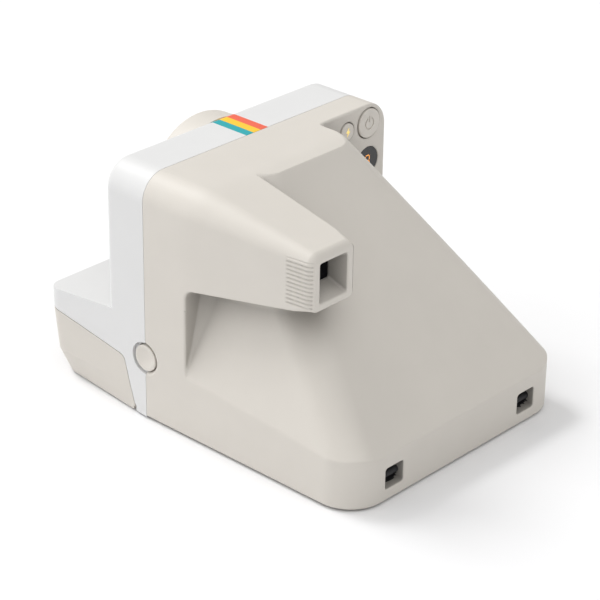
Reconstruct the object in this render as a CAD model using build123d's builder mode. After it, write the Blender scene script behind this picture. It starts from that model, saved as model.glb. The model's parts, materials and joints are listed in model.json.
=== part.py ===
"""Box-type instant camera: every piece in its own solid, in millimetres.

+Z is up, the front of the camera faces -Y, and the viewfinder is on the +X side.
The origin is on the surface that the camera stands on, under the middle of its footprint.
"""

from build123d import *
from math import acos, atan2, cos, pi, radians, sin, tan
import os

os.makedirs("parts", exist_ok=True)

# ---------------------------------------------------------------- driving dimensions

HALF_WIDTH = 56.1
HEIGHT = 94.0
FRONT_Y = -75.1
REAR_Y = 75.1
FOOT_HEIGHT = 0.8
WALL = 2.2
GAP = 0.3
RUNNING = 0.05
SNUG = 0.02

SEAM_Y = -23.5
FACE_Y = -42.6
PANEL_Y = -12.0
RECESS_Y = -3.5
TOP_ROUND = 10.0

SHOULDER_FRONT_Z = 25.8
SHOULDER_REAR_Z = 18.3
BASE_CORNER = 14.0
HUMP_HALF = 20.5
HUMP_WIDE = 30.0
HUMP_REAR_Y = 5.0
HUMP_CORNER = 8.0
HUMP_LEDGE = 0.4
HUMP_SLOPE = (HEIGHT - SHOULDER_REAR_Z) / (REAR_Y - HUMP_REAR_Y)

EYEPIECE_Y = 50.0
FINDER_ROOT = (41.05, 75.75)
FINDER_ROOT_SIZE = (30.1, 36.3)
FINDER_TIP = (40.25, 76.05)
FINDER_TIP_SIZE = (20.1, 20.5)
FINDER_TIP_ROUND = 4.0
FRONT_WINDOW_X = 41.0
FRONT_WINDOW_Z = 76.5
EYE_X = 40.2
EYE_Z = 75.5
FUNNEL_DEPTH = 7.0
EYE_WINDOW = (11.0, 7.2)
FUNNEL_MOUTH = (14.4, 15.0)

SHELF_FRONT_Z = 34.9
SHELF_REAR_Z = 37.9
NOSE_MID_Z = 27.6
NOSE_BELLY_Z = 10.0
NOSE_BELLY_HALF = 54.4
NOSE_BELLY_Y = -74.6
NOSE_FOOT_HALF = 51.0
NOSE_FOOT_Y = -71.8
NOSE_CORNER = 6.0

HINGE_Y = -30.9
HINGE_Z = 2.2
HINGE_PIN_R = 0.7
HINGE_BARREL_R = 1.4
HINGE_X = 40.0

LENS_Z = 67.0
LENS_R = 25.7
LENS_FRONT_Y = -54.0

ROLLER_Y = -63.0
ROLLER_R = 4.0
LOWER_ROLLER_Z = 17.3
UPPER_ROLLER_Z = 25.6
ROLLER_HALF = 44.6
ROLLER_SHAFT_R = 1.5

GEAR_MODULE = 0.5
GEAR_X = -50.0
GEAR_WIDTH = 2.4


# ---------------------------------------------------------------- shared outlines


def shoulder_plane(drop):
    """The sloping plane where the base's walls turn into the hump, lowered by drop."""
    return Plane(
        origin=(0, REAR_Y, SHOULDER_REAR_Z - drop),
        x_dir=(1, 0, 0),
        z_dir=(0, SHOULDER_FRONT_Z - SHOULDER_REAR_Z, REAR_Y - SEAM_Y),
    )


def footprint(plane, half, front, rear, corner, shift=0):
    """A rectangle on a level or sloping plane, with its two rear corners rounded."""
    tilt = cos(atan2(plane.z_dir.Y, plane.z_dir.Z))
    with BuildSketch(plane) as outline:
        with Locations((shift, ((front + rear) / 2 - plane.origin.Y) / tilt)):
            Rectangle(2 * half, (rear - front) / tilt)
        fillet(outline.vertices().group_by(Axis.Y)[-1], corner)
    return outline.sketch


def hump_form(inset, front):
    """The light cone's hump: level top, sloping back, flanks that spread to the base.

    Its top is wider on the viewfinder's side, where it runs into the viewfinder's housing."""
    edge = inset + HUMP_LEDGE
    low = footprint(shoulder_plane(inset), HALF_WIDTH - edge, front, REAR_Y - edge, BASE_CORNER - edge)
    high = footprint(
        Plane.XY.offset(HEIGHT - inset),
        (HUMP_HALF + HUMP_WIDE) / 2 - 0.6 * inset,
        front,
        HUMP_REAR_Y - 0.5 * inset,
        HUMP_CORNER - inset,
        (HUMP_WIDE - HUMP_HALF) / 2,
    )
    return loft(Sketch() + [low, high], ruled=True, mode=Mode.PRIVATE)


def body_outline(half_left, half_right, low, inset):
    """The camera's front view: upright sides and two rounded top corners, drawn on XZ."""
    with BuildSketch() as outline:
        with Locations(((half_left - half_right) / 2, (HEIGHT - inset + low) / 2)):
            Rectangle(half_left + half_right, HEIGHT - inset - low)
        corners = outline.vertices().group_by(Axis.Y)[-1].filter_by(lambda v: abs(v.X) > 1)
        fillet(corners, TOP_ROUND - inset)
    return outline.sketch


def finder_form(inset):
    """The viewfinder's housing, from the recess wall back to the eyepiece."""
    tip_y = EYEPIECE_Y if inset == 0 else EYEPIECE_Y - FUNNEL_DEPTH - WALL
    with BuildPart() as form:
        with BuildSketch(Plane.XZ.offset(-RECESS_Y + 1 + inset)) as root:
            with Locations((FINDER_ROOT[0], FINDER_ROOT[1] - inset / 2)):
                Rectangle(FINDER_ROOT_SIZE[0] - 2 * inset, FINDER_ROOT_SIZE[1] - 2 * inset)
            fillet(root.vertices().sort_by(Axis.X)[-2:].sort_by(Axis.Y)[-1], TOP_ROUND - inset)
        with BuildSketch(Plane.XZ.offset(-tip_y)) as tip:
            with Locations(FINDER_TIP):
                Rectangle(FINDER_TIP_SIZE[0] - 2 * inset, FINDER_TIP_SIZE[1] - 2 * inset)
            fillet(tip.vertices().sort_by(Axis.X)[-2:].sort_by(Axis.Y)[-1], FINDER_TIP_ROUND - inset)
        loft(ruled=True)
    return form.part


def rear_form(inset):
    """The rear housing's outer form, or its cavity when inset is the wall."""
    with BuildPart() as form:
        add(footprint(Plane.XY.offset(FOOT_HEIGHT), HALF_WIDTH - inset, SEAM_Y, REAR_Y - inset,
                      BASE_CORNER - inset))
        extrude(amount=60)
        split(bisect_by=shoulder_plane(inset), keep=Keep.BOTTOM)
        add(hump_form(inset, SEAM_Y))
        with BuildSketch(Plane.XZ.offset(-SEAM_Y)):
            add(body_outline(HALF_WIDTH - inset, HALF_WIDTH - inset, FOOT_HEIGHT, inset))
        extrude(amount=SEAM_Y - PANEL_Y + inset)
        with BuildSketch(Plane.XZ.offset(-PANEL_Y + WALL + 1)):
            add(body_outline(HALF_WIDTH - inset, -inset, FOOT_HEIGHT, inset))
        extrude(amount=PANEL_Y - RECESS_Y - WALL - 1 + inset)
        add(finder_form(inset))
    return form.part


def nose_outline(plane, half_front, front, inset):
    """The nose seen from above: nearly straight sides and rounded front corners."""
    half_back = HALF_WIDTH - inset
    with BuildSketch(plane) as outline:
        with BuildLine():
            Polyline((-half_back, SEAM_Y), (-half_front + inset, front + inset),
                     (half_front - inset, front + inset), (half_back, SEAM_Y), close=True)
        make_face()
        fillet(outline.vertices().group_by(Axis.Y)[0], NOSE_CORNER - inset)
    return outline.sketch


def nose_form(inset):
    """The nose below the lens: it leans in towards its foot and has a sloping shelf on top."""
    shelf = Plane(
        origin=(0, FRONT_Y, SHELF_FRONT_Z - inset),
        x_dir=(1, 0, 0),
        z_dir=(0, SHELF_FRONT_Z - SHELF_REAR_Z, -FRONT_Y - 43.8),
    )
    foot = nose_outline(Plane.XY.offset(FOOT_HEIGHT + inset), NOSE_FOOT_HALF, NOSE_FOOT_Y, inset)
    belly = nose_outline(Plane.XY.offset(NOSE_BELLY_Z), NOSE_BELLY_HALF, NOSE_BELLY_Y, inset)
    middle = nose_outline(Plane.XY.offset(NOSE_MID_Z), HALF_WIDTH, FRONT_Y, inset)
    with BuildPart() as form:
        add(loft(Sketch() + [foot, belly, middle], ruled=True, mode=Mode.PRIVATE))
        add(extrude(middle, amount=20, mode=Mode.PRIVATE))
        split(bisect_by=shelf, keep=Keep.BOTTOM)
    return form.part


def front_form(inset, front_round):
    """The front casing's outer form, or its cavity when inset is the wall."""
    with BuildPart() as form:
        with BuildSketch(Plane.XZ.offset(-SEAM_Y)):
            add(body_outline(HALF_WIDTH - inset, HALF_WIDTH - inset, NOSE_MID_Z, inset))
        extrude(amount=SEAM_Y - FACE_Y - inset)
        if front_round:
            fillet(form.faces().sort_by(Axis.Y)[0].edges().filter_by(
                lambda e: e.center().Z > NOSE_MID_Z + 1), front_round)
        add(nose_form(inset))
    return form.part


def door_side(shrink):
    """The film door's side view on YZ, drawn smaller by the gap around it."""
    with BuildSketch(Plane.YZ) as side:
        with BuildLine():
            Polyline((-80, 28.8), (-34.7, 21.3), (-28.4, -2.5), (-80, -2.5), close=True)
        make_face()
        fillet(side.vertices().sort_by(Axis.X)[-2:].sort_by(Axis.Y)[-1], 3.0)
        if shrink:
            offset(amount=-shrink)
    return side.sketch


# ---------------------------------------------------------------- small builders


def block(low, high, mode=Mode.ADD):
    """Adds a box between two corners to the piece being built."""
    middle = tuple((a + b) / 2 for a, b in zip(low, high))
    with Locations(middle):
        Box(*[b - a for a, b in zip(low, high)], mode=mode)


def bar_x(y, z, radius, x_from, x_to, mode=Mode.ADD):
    """Adds a round bar along X to the piece being built."""
    with Locations(((x_from + x_to) / 2, y, z)):
        Cylinder(radius, abs(x_to - x_from), rotation=(0, 90, 0), mode=mode)


def bar_y(x, z, radius, y_from, y_to, mode=Mode.ADD):
    """Adds a round bar along Y to the piece being built."""
    with Locations((x, (y_from + y_to) / 2, z)):
        Cylinder(radius, abs(y_to - y_from), rotation=(90, 0, 0), mode=mode)


def bar_z(x, y, radius, z_from, z_to, mode=Mode.ADD):
    """Adds a round bar along Z to the piece being built."""
    with Locations((x, y, (z_from + z_to) / 2)):
        Cylinder(radius, abs(z_to - z_from), mode=mode)


def window_block(x, z, width, height, corner, y_from, y_to, mode=Mode.ADD):
    """Adds a plate with rounded corners, flat to the front, to the piece being built."""
    with BuildSketch(Plane.XZ.offset(-y_to)) as outline:
        with Locations((x, z)):
            RectangleRounded(width, height, corner)
    extrude(outline.sketch, amount=y_to - y_from, mode=mode)


# ---------------------------------------------------------------- positions of the fittings

FLASH_X, FLASH_Z = -37.5, 78.5
FLASH_SIZE = (27.0, 16.0)
FRONT_WINDOW_SIZE = (13.0, 12.0)
SHUTTER_X, SHUTTER_Z, SHUTTER_R = -42.0, 53.5, 7.0
TIMER_X, TIMER_Z, TIMER_R = 42.0, 53.5, 3.6
POWER_X, POWER_Z, POWER_R = -46.7, 86.6, 5.6
FLASH_BUTTON_X, FLASH_BUTTON_Z, FLASH_BUTTON_R = -35.0, 86.5, 3.3
LED_X, LED_Z, LED_R = -32.6, 80.2, 0.9
COUNTER_X, COUNTER_Z, COUNTER_R = -46.8, 71.5, 5.5
RELEASE_Y, RELEASE_Z, RELEASE_R = -23.8, 24.2, 5.0
USB_Y, USB_Z = -18.4, 58.0
STRAP_X, STRAP_Z = 35.3, 9.2
STRAP_WIDTH, STRAP_HEIGHT, STRAP_DEPTH = 9.0, 8.0, 6.5
STRAP_BAR_R = 1.3
STRIPE_WIDTH, STRIPE_DEPTH = 11.0, 0.5
BAND_NAMES = ("teal", "yellow", "coral")
BASE_FEET = [(-44, -8), (44, -8), (-44, 60), (44, 60)]
DOOR_FEET = [(-36, -60), (36, -60)]
FOOT_R = 4.0
BASE_SCREWS = [(-50.5, 8), (50.5, 8), (-50.5, 44), (50.5, 44), (-20, 66), (20, 66)]

# ---------------------------------------------------------------- rear housing

with BuildPart() as rear_cavity:
    add(rear_form(WALL))
    for side in (-1, 1):
        half = STRAP_WIDTH / 2 + 2
        block((side * STRAP_X - half, REAR_Y - STRAP_DEPTH - 2, STRAP_Z - 6.4),
              (side * STRAP_X + half, REAR_Y, STRAP_Z + 6), mode=Mode.SUBTRACT)

with BuildPart() as rear_housing:
    add(rear_form(0))
    add(rear_cavity.part, mode=Mode.SUBTRACT)
    # the eyepiece's funnel, which narrows to the window
    with BuildSketch(Plane.XZ.offset(-EYEPIECE_Y)):
        with Locations((EYE_X, EYE_Z)):
            RectangleRounded(*FUNNEL_MOUTH, 1.2)
    with BuildSketch(Plane.XZ.offset(-EYEPIECE_Y + FUNNEL_DEPTH)):
        with Locations((EYE_X, EYE_Z)):
            RectangleRounded(EYE_WINDOW[0], EYE_WINDOW[1], 0.8)
    loft(mode=Mode.SUBTRACT)
    window_block(EYE_X, EYE_Z, EYE_WINDOW[0], EYE_WINDOW[1], 0.8,
                 EYEPIECE_Y - FUNNEL_DEPTH - WALL - 1, EYEPIECE_Y - FUNNEL_DEPTH, Mode.SUBTRACT)
    # strap slots and the holes for their bars
    for side in (-1, 1):
        window_block(side * STRAP_X, STRAP_Z, STRAP_WIDTH, STRAP_HEIGHT, 1.0,
                     REAR_Y - STRAP_DEPTH, REAR_Y + 1, Mode.SUBTRACT)
        bar_x(REAR_Y - 3.6, STRAP_Z - 0.6, STRAP_BAR_R, side * STRAP_X - STRAP_WIDTH / 2 - 1,
              side * STRAP_X + STRAP_WIDTH / 2 + 1, Mode.SUBTRACT)
    # holes in the control panel
    for x, z, radius in ((POWER_X, POWER_Z, POWER_R + GAP), (COUNTER_X, COUNTER_Z, COUNTER_R),
                         (FLASH_BUTTON_X, FLASH_BUTTON_Z, FLASH_BUTTON_R + GAP), (LED_X, LED_Z, LED_R)):
        bar_y(x, z, radius, PANEL_Y - WALL - 1, PANEL_Y + 1, Mode.SUBTRACT)
    # the release button's bore and the charging socket's opening
    bar_x(RELEASE_Y, RELEASE_Z, RELEASE_R + GAP, HALF_WIDTH - WALL - 1, HALF_WIDTH + 1, Mode.SUBTRACT)
    bar_x(RELEASE_Y, RELEASE_Z, RELEASE_R + 1.2, HALF_WIDTH - 1.4, HALF_WIDTH + 1, Mode.SUBTRACT)
    block((-HALF_WIDTH - 1, USB_Y - 1.7, USB_Z - 4.6), (-HALF_WIDTH + 4, USB_Y + 1.7, USB_Z + 4.6),
          Mode.SUBTRACT)
rear_housing.part.label = "rear_housing"
export_step(rear_housing.part, "parts/rear_housing.step")

with BuildPart() as strap_bars:
    for side in (-1, 1):
        bar_x(REAR_Y - 3.6, STRAP_Z - 0.6, STRAP_BAR_R - SNUG, side * STRAP_X - STRAP_WIDTH / 2 - 0.9,
              side * STRAP_X + STRAP_WIDTH / 2 + 0.9)
strap_bars.part.label = "strap_bars"
export_step(strap_bars.part, "parts/strap_bars.step")

# ---------------------------------------------------------------- base plate, feet and screws

with BuildPart() as base_plate:
    add(footprint(Plane.XY.offset(FOOT_HEIGHT), HALF_WIDTH - WALL - 0.1, SEAM_Y + 0.1,
                  REAR_Y - WALL - 0.1, BASE_CORNER - WALL - 0.1))
    extrude(amount=2.0)
    for x, y in BASE_FEET:
        bar_z(x, y, FOOT_R + SNUG, FOOT_HEIGHT - 1, FOOT_HEIGHT + 0.8, Mode.SUBTRACT)
    for x, y in BASE_SCREWS:
        bar_z(x, y, 1.1, FOOT_HEIGHT - 1, FOOT_HEIGHT + 3, Mode.SUBTRACT)
        bar_z(x, y, 2.1, FOOT_HEIGHT - 1, FOOT_HEIGHT + 1.1, Mode.SUBTRACT)
base_plate.part.label = "base_plate"
export_step(base_plate.part, "parts/base_plate.step")

with BuildPart() as rubber_feet:
    for x, y in BASE_FEET:
        bar_z(x, y, FOOT_R, 0, FOOT_HEIGHT + 0.8)
    fillet(rubber_feet.edges().group_by(Axis.Z)[0], 0.3)
rubber_feet.part.label = "rubber_feet"
export_step(rubber_feet.part, "parts/rubber_feet.step")

with BuildPart() as base_screws:
    for x, y in BASE_SCREWS:
        bar_z(x, y, 2.0, FOOT_HEIGHT + 0.2, FOOT_HEIGHT + 1.1)
        bar_z(x, y, 1.0, FOOT_HEIGHT + 1.1, FOOT_HEIGHT + 4.4)
        block((x - 1.2, y - 0.2, FOOT_HEIGHT), (x + 1.2, y + 0.2, FOOT_HEIGHT + 0.7), Mode.SUBTRACT)
        block((x - 0.2, y - 1.2, FOOT_HEIGHT), (x + 0.2, y + 1.2, FOOT_HEIGHT + 0.7), Mode.SUBTRACT)
base_screws.part.label = "base_screws"
export_step(base_screws.part, "parts/base_screws.step")

# ---------------------------------------------------------------- front casing and its inlay

with BuildPart() as door_space:
    extrude(door_side(0), amount=60, both=True)

with BuildPart() as inlay_skin:
    add(front_form(0, 3.0))
    add(front_form(STRIPE_DEPTH, 3.0 - STRIPE_DEPTH), mode=Mode.SUBTRACT)
    block((-STRIPE_WIDTH / 2, FACE_Y - 1, 89), (STRIPE_WIDTH / 2, SEAM_Y, HEIGHT + 1), Mode.INTERSECT)

with BuildPart() as front_casing:
    add(front_form(0, 3.0))
    add(front_form(WALL, 0), mode=Mode.SUBTRACT)
    add(door_space.part, mode=Mode.SUBTRACT)
    bar_y(0, LENS_Z, 21.0, FACE_Y - 1, FACE_Y + WALL + 1, Mode.SUBTRACT)
    window_block(FLASH_X, FLASH_Z, *FLASH_SIZE, 2.5, FACE_Y - 1, FACE_Y + WALL + 1, Mode.SUBTRACT)
    window_block(FRONT_WINDOW_X, FRONT_WINDOW_Z, *FRONT_WINDOW_SIZE, 2.0, FACE_Y - 1, FACE_Y + WALL + 1, Mode.SUBTRACT)
    bar_y(SHUTTER_X, SHUTTER_Z, SHUTTER_R + GAP, FACE_Y - 1, FACE_Y + WALL + 1, Mode.SUBTRACT)
    bar_y(TIMER_X, TIMER_Z, TIMER_R + GAP, FACE_Y - 1, FACE_Y + WALL + 1, Mode.SUBTRACT)
    bar_x(RELEASE_Y, RELEASE_Z, RELEASE_R + GAP, HALF_WIDTH - WALL - 1, HALF_WIDTH + 1, Mode.SUBTRACT)
    bar_x(RELEASE_Y, RELEASE_Z, RELEASE_R + 1.2, HALF_WIDTH - 1.4, HALF_WIDTH + 1, Mode.SUBTRACT)
    # the hinge: a round channel for the door's barrel, and two knuckles
    bar_x(HINGE_Y, HINGE_Z, HINGE_BARREL_R + GAP, -HALF_WIDTH, HALF_WIDTH, Mode.SUBTRACT)
    for side in (-1, 1):
        low, high = sorted((side * HINGE_X - 3, side * HINGE_X + 3))
        bar_x(HINGE_Y, HINGE_Z, HINGE_BARREL_R, low, high)
        block((low, HINGE_Y, FOOT_HEIGHT), (high, HINGE_Y + 3, FOOT_HEIGHT + WALL))
        bar_x(HINGE_Y, HINGE_Z, HINGE_PIN_R + SNUG, low, high, Mode.SUBTRACT)
    # the inlay's shallow channel, from the seam over the top and down the face
    add(inlay_skin.part, mode=Mode.SUBTRACT)
front_casing.part.label = "front_casing"
export_step(front_casing.part, "parts/front_casing.step")

for index, band_name in enumerate(BAND_NAMES):
    band_width = STRIPE_WIDTH / len(BAND_NAMES)
    left = STRIPE_WIDTH / 2 - (index + 1) * band_width
    with BuildPart() as accent_band:
        add(inlay_skin.part)
        block((left, FACE_Y - 1, 0), (left + band_width, SEAM_Y, HEIGHT + 1), Mode.INTERSECT)
    accent_band.part.label = f"accent_band_{band_name}"
    export_step(accent_band.part, f"parts/accent_band_{band_name}.step")

with BuildPart() as hinge_pins:
    for side in (-1, 1):
        bar_x(HINGE_Y, HINGE_Z, HINGE_PIN_R, side * (HINGE_X - 7), side * (HINGE_X + 7))
hinge_pins.part.label = "hinge_pins"
export_step(hinge_pins.part, "parts/hinge_pins.step")

# ---------------------------------------------------------------- film door and what rides on it

with BuildPart() as film_door:
    add(nose_form(0))
    add(nose_form(WALL), mode=Mode.SUBTRACT)
    extrude(door_side(GAP), amount=60, both=True, mode=Mode.INTERSECT)
    # the rear edge ends in a barrel about the hinge's axis
    block((-HALF_WIDTH, HINGE_Y, 0), (HALF_WIDTH, HINGE_Y + 4, HINGE_Z), Mode.SUBTRACT)
    bar_x(HINGE_Y, HINGE_Z, HINGE_BARREL_R, -54.4, 54.4)
    for side in (-1, 1):
        low, high = sorted((side * HINGE_X - 3.4, side * HINGE_X + 3.4))
        block((low, HINGE_Y - HINGE_BARREL_R - 0.4, 0), (high, HINGE_Y + 4, HINGE_Z + 3), Mode.SUBTRACT)
        bar_x(HINGE_Y, HINGE_Z, HINGE_PIN_R + RUNNING, side * (HINGE_X - 7.2), side * (HINGE_X + 7.2),
              Mode.SUBTRACT)
    # the slot that the picture leaves through
    block((-45.5, FRONT_Y - 1, 20.4), (45.5, FRONT_Y + 5, 23.2), Mode.SUBTRACT)
    # seats for the two front feet
    for x, y in DOOR_FEET:
        bar_z(x, y, FOOT_R + SNUG, FOOT_HEIGHT - 1, FOOT_HEIGHT + 0.8, Mode.SUBTRACT)
film_door.part.label = "film_door"
export_step(film_door.part, "parts/film_door.step")

with BuildPart() as door_feet:
    for x, y in DOOR_FEET:
        bar_z(x, y, FOOT_R, 0, FOOT_HEIGHT + 0.8)
    fillet(door_feet.edges().group_by(Axis.Z)[0], 0.3)
door_feet.part.label = "door_feet"
export_step(door_feet.part, "parts/door_feet.step")

FRAME_PLATE_X = 45.8
FRAME_PLATE = 1.2

with BuildPart() as roller_frame:
    for side in (-1, 1):
        low, high = sorted((side * FRAME_PLATE_X, side * (FRAME_PLATE_X + FRAME_PLATE)))
        block((low, ROLLER_Y - 4.5, FOOT_HEIGHT + WALL), (high, ROLLER_Y + 5.0, UPPER_ROLLER_Z + 4.4))
        for z in (LOWER_ROLLER_Z, UPPER_ROLLER_Z):
            bar_x(ROLLER_Y, z, ROLLER_SHAFT_R + RUNNING, low - 1, high + 1, Mode.SUBTRACT)
    # an angle between the two plates: a floor strip and an upright strip in front
    corner = (-FRAME_PLATE_X, ROLLER_Y - 3, FOOT_HEIGHT + WALL)
    block(corner, (FRAME_PLATE_X, ROLLER_Y + 3, corner[2] + FRAME_PLATE))
    block(corner, (FRAME_PLATE_X, corner[1] + FRAME_PLATE, corner[2] + 7))
roller_frame.part.label = "roller_frame"
export_step(roller_frame.part, "parts/roller_frame.step")

SHAFT_END = FRAME_PLATE_X + FRAME_PLATE

with BuildPart() as lower_roller:
    bar_x(ROLLER_Y, LOWER_ROLLER_Z, ROLLER_R, -ROLLER_HALF, ROLLER_HALF)
    bar_x(ROLLER_Y, LOWER_ROLLER_Z, ROLLER_SHAFT_R, GEAR_X - GEAR_WIDTH / 2, SHAFT_END)
lower_roller.part.label = "lower_roller"
export_step(lower_roller.part, "parts/lower_roller.step")

with BuildPart() as upper_roller:
    bar_x(ROLLER_Y, UPPER_ROLLER_Z, ROLLER_R, -ROLLER_HALF, ROLLER_HALF)
    bar_x(ROLLER_Y, UPPER_ROLLER_Z, ROLLER_SHAFT_R, -SHAFT_END, SHAFT_END)
upper_roller.part.label = "upper_roller"
export_step(upper_roller.part, "parts/upper_roller.step")

# ---------------------------------------------------------------- gear train


def involute(angle):
    """The involute function, whose argument and value are in radians."""
    return tan(angle) - angle


def gear_outline(teeth, phase):
    """A spur gear's outline in its own plane, one tooth centred at phase radians."""
    pitch_r = GEAR_MODULE * teeth / 2
    base_r = pitch_r * cos(radians(20))
    root_r = pitch_r - 1.2 * GEAR_MODULE
    tip_r = pitch_r + 0.8 * GEAR_MODULE
    half_at_pitch = 0.84 * pi / (2 * teeth)
    flank = [max(base_r, root_r) + (tip_r - max(base_r, root_r)) * step / 4 for step in range(5)]
    points = []
    for tooth in range(teeth):
        centre = phase + 2 * pi * tooth / teeth
        for side, radii in ((-1, [root_r] + flank), (1, flank[::-1] + [root_r])):
            for radius in radii:
                pressure = acos(min(1.0, base_r / radius))
                half = half_at_pitch + involute(radians(20)) - involute(pressure)
                angle = centre + side * half
                points.append((radius * cos(angle), radius * sin(angle)))
    with BuildSketch() as outline:
        with BuildLine():
            Polyline(*points, close=True)
        make_face()
    return outline.sketch


def next_gear(previous, teeth, direction):
    """The gear that meshes with the previous one, in that direction (degrees from +Y to +Z)."""
    y, z, previous_teeth, previous_phase = previous
    angle = radians(direction)
    distance = GEAR_MODULE * (previous_teeth + teeth) / 2
    phase = angle + pi - (previous_phase - angle) * previous_teeth / teeth + pi / teeth
    return (y + distance * cos(angle), z + distance * sin(angle), teeth, phase)


def gear(place, bore, label):
    """Makes one gear of the train and writes it."""
    y, z, teeth, phase = place
    with BuildPart() as wheel:
        with BuildSketch(Plane.YZ.offset(GEAR_X - GEAR_WIDTH / 2)):
            with Locations((y, z)):
                add(gear_outline(teeth, phase))
                Circle(bore, mode=Mode.SUBTRACT)
        extrude(amount=GEAR_WIDTH)
    wheel.part.label = label
    export_step(wheel.part, f"parts/{label}.step")


POST_R = 1.3
ROLLER_GEAR = (ROLLER_Y, LOWER_ROLLER_Z, 20, 0.0)
RELAY_GEAR = next_gear(ROLLER_GEAR, 20, 65)
IDLER_GEAR = next_gear(RELAY_GEAR, 28, 0)
REDUCTION_GEAR = next_gear(IDLER_GEAR, 36, 10)
MOTOR_PINION = next_gear(REDUCTION_GEAR, 10, 60)

gear(ROLLER_GEAR, ROLLER_SHAFT_R + SNUG, "roller_gear")
gear(RELAY_GEAR, POST_R + RUNNING, "relay_gear")
gear(IDLER_GEAR, POST_R + RUNNING, "idler_gear")
gear(REDUCTION_GEAR, POST_R + RUNNING, "reduction_gear")
gear(MOTOR_PINION, 1.0 + SNUG, "motor_pinion")

GEAR_PLATE_X = -48.2

with BuildPart() as gear_plate:
    block((GEAR_PLATE_X, -55.5, 20), (-47.1, -22, 47))
    bar_x(RELAY_GEAR[0], RELAY_GEAR[1], 3.6, GEAR_PLATE_X, -47.3)
    block((GEAR_PLATE_X, RELAY_GEAR[0], RELAY_GEAR[1] - 3.6), (-47.3, -55, RELAY_GEAR[1] + 3.6))
    # clear of the roller frame's plate and of the shelf above
    block((-47.3, -64, 0), (-46, -56.6, 40), Mode.SUBTRACT)
    block((-50, -62, 33.4), (-46, -38, 60), Mode.SUBTRACT)
    for y, z, teeth, phase in (RELAY_GEAR, IDLER_GEAR, REDUCTION_GEAR):
        bar_x(y, z, POST_R, GEAR_X - GEAR_WIDTH / 2 - 0.2, GEAR_PLATE_X + 0.5)
    bar_x(MOTOR_PINION[0], MOTOR_PINION[1], 2.0, -50, -46, Mode.SUBTRACT)
gear_plate.part.label = "gear_plate"
export_step(gear_plate.part, "parts/gear_plate.step")

with BuildPart() as motor:
    bar_x(MOTOR_PINION[0], MOTOR_PINION[1], 7.5, -47.05, -24)
    fillet(motor.edges(), 0.8)
    bar_x(MOTOR_PINION[0], MOTOR_PINION[1], 1.2, -24, -22)
motor.part.label = "motor"
export_step(motor.part, "parts/motor.step")

with BuildPart() as motor_shaft:
    bar_x(MOTOR_PINION[0], MOTOR_PINION[1], 1.0, GEAR_X - GEAR_WIDTH / 2 - 0.3, -47.2)
motor_shaft.part.label = "motor_shaft"
export_step(motor_shaft.part, "parts/motor_shaft.step")

# ---------------------------------------------------------------- film chamber, cartridge and light path

CARTRIDGE = ((-44.5, -56.0, 5.0), (44.5, 54.0, 24.0))
FILM_WINDOW = 39.5
FILM_MID_Y = 13.0

with BuildPart() as film_cartridge:
    block(*CARTRIDGE)
    fillet(film_cartridge.edges().filter_by(Axis.Y), 1.2)
    # the picture window on top and the slit that the sheets leave through
    block((-FILM_WINDOW, FILM_MID_Y - FILM_WINDOW, 23.2), (FILM_WINDOW, FILM_MID_Y + FILM_WINDOW, 25),
          Mode.SUBTRACT)
    block((-43, -57, 21.2), (43, -50, 22.2), Mode.SUBTRACT)
film_cartridge.part.label = "film_cartridge"
export_step(film_cartridge.part, "parts/film_cartridge.step")

with BuildPart() as film_chamber:
    block((-49, -56, 24.3), (49, 57, 25.8))
    block((-47, -56, FOOT_HEIGHT + 2.0), (47, 57, 24.3))
    block((-45, -57, 0), (45, 54.6, 24.3), Mode.SUBTRACT)
    block((-40.5, FILM_MID_Y - 40.5, 20), (40.5, FILM_MID_Y + 40.5, 30), Mode.SUBTRACT)
    block((-60, -60, 0), (60, -29, 4.6), Mode.SUBTRACT)
    block((-60, -60, 0), (60, -22, 3.2), Mode.SUBTRACT)
    for side in (-1, 1):
        block((side * 30 - 2, -20, FOOT_HEIGHT + 2.0), (side * 30 + 2, 54.6, 4.95))
    # narrow over the nose, where the gears and the casing's sides are close
    for side in (-1, 1):
        low, high = sorted((side * 47, side * 60))
        block((low, -60, 0), (high, -20, 30), Mode.SUBTRACT)
film_chamber.part.label = "film_chamber"
export_step(film_chamber.part, "parts/film_chamber.step")

CONE_INSET = 4.8
CONE_WALL = 1.4
CONE_FRONT_Y = -1.5
TUNNEL_HALF = 19.0

with BuildPart() as light_cone:
    add(hump_form(CONE_INSET, CONE_FRONT_Y))
    add(hump_form(CONE_INSET + CONE_WALL, CONE_FRONT_Y + CONE_WALL), mode=Mode.SUBTRACT)
    block((-70, -60, 0), (70, 80, 25.9), Mode.SUBTRACT)
    block((-TUNNEL_HALF, -31, LENS_Z - TUNNEL_HALF), (TUNNEL_HALF, CONE_FRONT_Y + 0.5, LENS_Z + TUNNEL_HALF))
    block((-TUNNEL_HALF + CONE_WALL, -32, LENS_Z - TUNNEL_HALF + CONE_WALL),
          (TUNNEL_HALF - CONE_WALL, CONE_FRONT_Y + 3, LENS_Z + TUNNEL_HALF - CONE_WALL), Mode.SUBTRACT)
light_cone.part.label = "light_cone"
export_step(light_cone.part, "parts/light_cone.step")

SLOPE_ANGLE = atan2(HUMP_SLOPE, 1)


def slope_plane(depth):
    """A plane along the hump's sloping back, that deep below its surface."""
    normal = Vector(0, sin(SLOPE_ANGLE), cos(SLOPE_ANGLE))
    top = Vector(0, HUMP_REAR_Y, HEIGHT)
    return Plane(origin=top - normal * depth, x_dir=(-1, 0, 0), z_dir=normal * -1)


MIRROR_DEPTH = 9.6

with BuildPart() as mirror:
    with BuildSketch(slope_plane(MIRROR_DEPTH)):
        with BuildLine():
            Polyline((-14, 24), (14, 24), (33, 81), (-33, 81), close=True)
        make_face()
    extrude(amount=1.6)
mirror.part.label = "mirror"
export_step(mirror.part, "parts/mirror.step")

# ---------------------------------------------------------------- lens and shutter

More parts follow.
